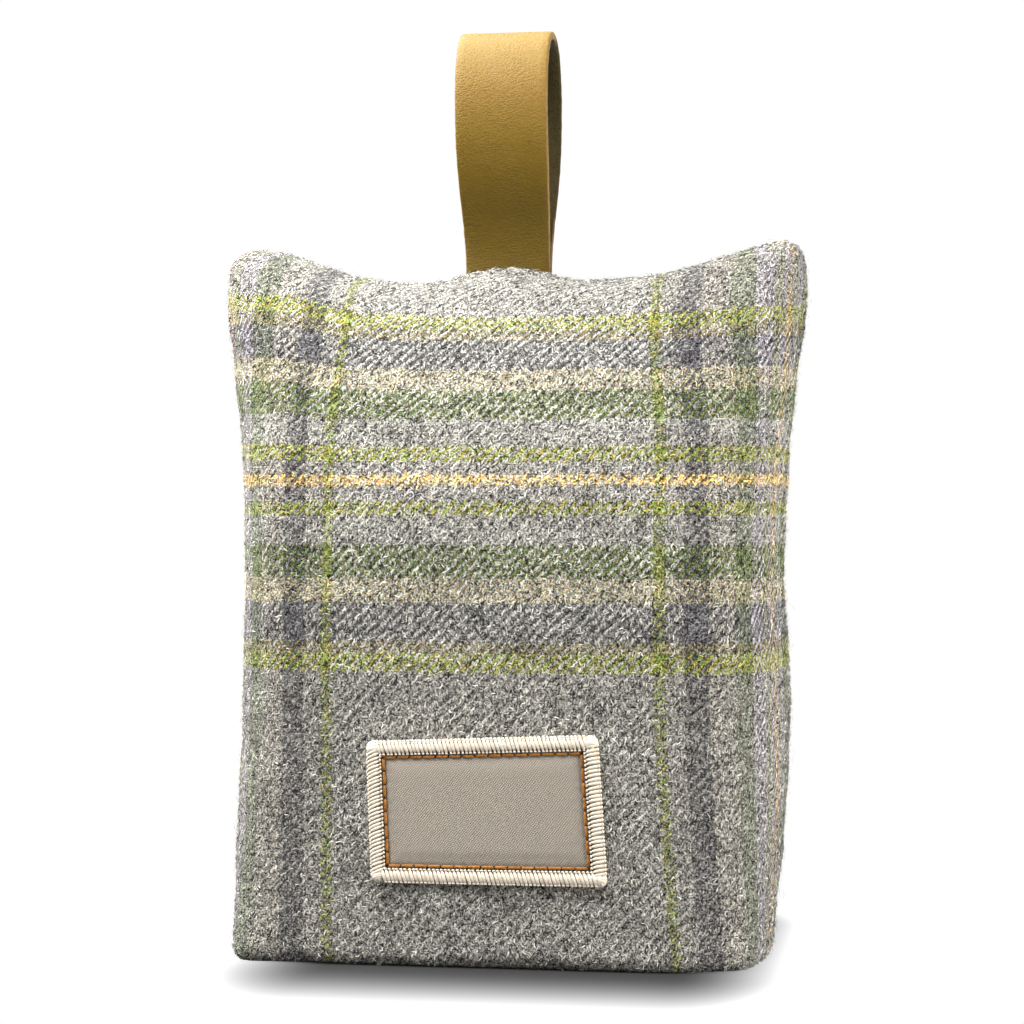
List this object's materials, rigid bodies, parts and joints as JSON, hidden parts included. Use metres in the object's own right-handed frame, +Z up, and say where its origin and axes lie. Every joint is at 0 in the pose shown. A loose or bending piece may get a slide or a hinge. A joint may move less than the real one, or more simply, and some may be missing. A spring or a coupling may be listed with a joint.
{
  "type": "fabric doorstop",
  "caption": "Filled check-wool doorstop bag with a flat base, soft ears at its top corners, an upright leather carrying loop and a blank sewn patch.",
  "frame": {"origin": "middle of the flat base, in the plane it stands on", "axes": "+Z up, -Y towards the face with the patch, +X to the right seen from that face"},
  "size_m": [0.1563, 0.0986, 0.245],
  "materials": {
    "wool": "felted melange wool twill in grey with a lime, green, beige and charcoal check",
    "leather": "fine-grained tan leather, satin",
    "border_thread": "cream overlocked thread",
    "label_cloth": "fine greige twill, bare"
  },
  "bodies": {
    "root": {"body": "wool", "handle_strap": "leather", "label_border": "border_thread", "label_ground": "label_cloth"}
  },
  "joints": []
}
